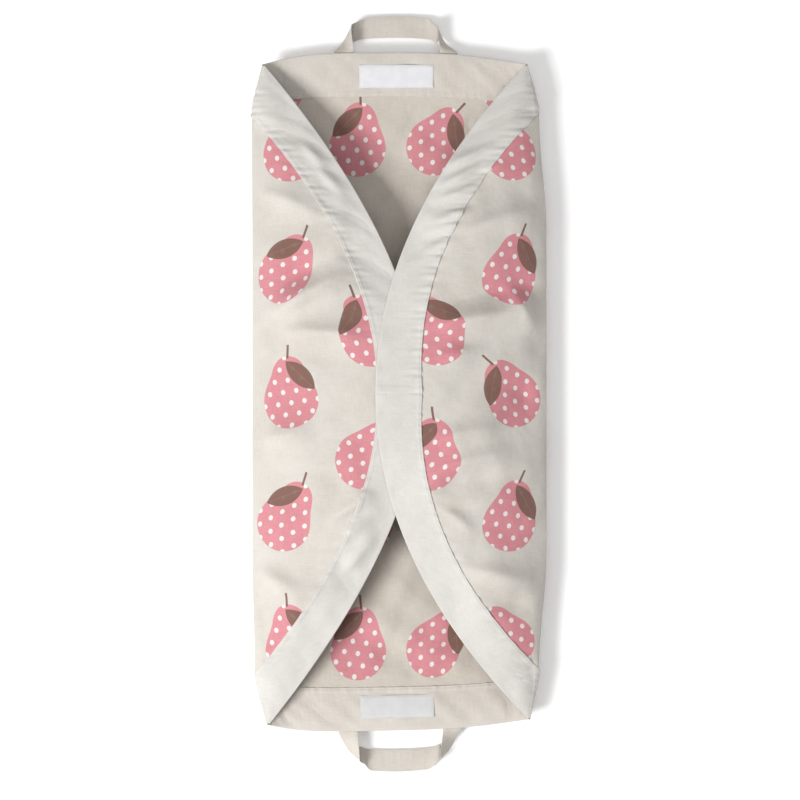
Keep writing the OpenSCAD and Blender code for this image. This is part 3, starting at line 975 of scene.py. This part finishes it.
# For each end, left and right: inner and outer edge of the leg at the rim, the corner's distance
# from the middle and from the rim, and its splay; then the grip's outer and inner edge from the
# rim.
LEGS = {1: ((-1, 0.0815, 0.1145, 0.0840, 0.0505, 0.16),
            (1, 0.0715, 0.1020, 0.0670, 0.0490, 0.12)),
        -1: ((-1, 0.0730, 0.1065, 0.0695, 0.0545, 0.52),
             (1, 0.0765, 0.1080, 0.0715, 0.0560, 0.48))}
GRIP = {1: (0.0675, 0.0300), -1: (0.0765, 0.0375)}

for end, where in ((1, "head"), (-1, "foot")):
    left, right = (half_loop(end, *leg, *GRIP[end]) for leg in LEGS[end])
    points = np.concatenate([left[:0:-1], right])
    middle = (points[:, :3] + points[:, 3:]) / 2
    chord = np.linalg.norm(np.diff(middle, axis=0), axis=1) + 0.004
    run = np.concatenate([[0], np.cumsum(chord)])
    s = np.linspace(0, run[-1], 260)
    edges = through(points, run, s)
    half_e = [0.2, 0.5, 0.78, STITCH_E, 0.9, 0.97, 1.0]
    e = np.array([-k for k in half_e[::-1]] + half_e)

    def strap_at(e):
        """The strap at e from -1 to 1 across it: a straight line between the two edges."""
        share = (np.asarray(e, float)[None, :, None] + 1) / 2
        return edges[:, None, :3] * share + edges[:, None, 3:] * (1 - share)

    p = strap_at(e)
    along = unit(np.gradient(p, axis=0))
    n = unit(np.cross(p[:, -1:] - p[:, :1] + 0 * p, along)) * end
    length = np.concatenate([[0], np.cumsum(np.linalg.norm(np.diff(p[:, 6], axis=0), axis=1))])
    round_off = 1 - 0.75 * np.abs(e) ** 14
    dip = 0.30 * np.exp(-((np.abs(e) - STITCH_E) / 0.05) ** 2)
    half_t = (STRAP_T / 2 * (round_off - dip))[None, :, None]
    puffy = ripple(length, 71 + end, (0.019, 0.011), 0.00012)[:, None, None]
    puffy = puffy * (1 - np.abs(e) ** 4)[None, :, None]
    uv = np.stack(np.meshgrid(e * STRAP_W / 2, length), -1)
    over, below = p + n * (half_t + puffy), p - n * (half_t + puffy)
    if end > 0:
        over, below = below, over
    strap = cloth(f"{where}_handle_strap", over, below, uv, strap_canvas)
    lines = []
    row = strap_at([-STITCH_E, STITCH_E])
    for k in (0, 1):
        across = n[:, 3] if k == 0 else n[:, -4]
        for face in (1, -1):
            keep = slice(24, -24)
            lines.append((row[keep, k] + face * across[keep] * STRAP_T * 0.36,
                          face * across[keep]))
    sewing = stitches(f"{where}_handle_stitching", lines)
    for piece in (strap, sewing):
        end * (HANDLE_Y - 0.005)
        end * (HANDLE_Y + 0.005)
        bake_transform(piece)
    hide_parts(f"{where}_handle_loop", f"{where}_handle_ends")

# ---------------------------------------------------------------------------
# Floor, light and camera: a pale floor, a broad soft lamp over the foot's left
# side, a weaker one high above, and the camera straight above the bag.
floor_mesh = bpy.data.meshes.new("floor")
floor_mesh.from_pydata([(-6, -6, 0), (6, -6, 0), (6, 6, 0), (-6, 6, 0)], [], [(0, 1, 2, 3)])
floor = bpy.data.objects.new("floor", floor_mesh)
bpy.context.scene.collection.objects.link(floor)
paper = bpy.data.materials.new("pale floor")
paper.use_nodes = True
paper_sockets = paper.node_tree.nodes["Principled BSDF"].inputs
paper_sockets["Base Color"].default_value = (0.93, 0.93, 0.93, 1)
paper_sockets["Roughness"].default_value = 0.9
paper_sockets["Emission Color"].default_value = (1, 1, 1, 1)
paper_sockets["Emission Strength"].default_value = 0.12
floor_mesh.materials.append(paper)

for name, place, size, power in (("key", (-2.2, -1.65, 3.05), 1.4, 158.0),
                                 ("top", (0.3, 0.6, 3.2), 2.6, 30.0)):
    lamp = bpy.data.lights.new(name, "AREA")
    lamp.size = size
    lamp.energy = power
    stand = bpy.data.objects.new(name, lamp)
    stand.location = place
    aim = -np.array(place)
    stand.rotation_euler = (math.atan2(math.hypot(aim[0], aim[1]), -aim[2]), 0,
                            math.atan2(-aim[0], aim[1]))
    bpy.context.scene.collection.objects.link(stand)

world = bpy.data.worlds.new("studio")
bpy.context.scene.world = world
world.use_nodes = True
world.node_tree.nodes["Background"].inputs[0].default_value = (1, 1, 1, 1)
world.node_tree.nodes["Background"].inputs[1].default_value = 0.34

HEIGHT = 6.0
VIEW_W = 1.400
SENSOR_W = 36
eye = bpy.data.cameras.new("camera")
eye.sensor_width = SENSOR_W
eye.lens = SENSOR_W * (HEIGHT - 0.06) / VIEW_W
camera = bpy.data.objects.new("camera", eye)
camera.location = (0.001, -0.012, HEIGHT)
bpy.context.scene.collection.objects.link(camera)
bpy.context.scene.camera = camera
bpy.context.scene.view_settings.view_transform = "Standard"
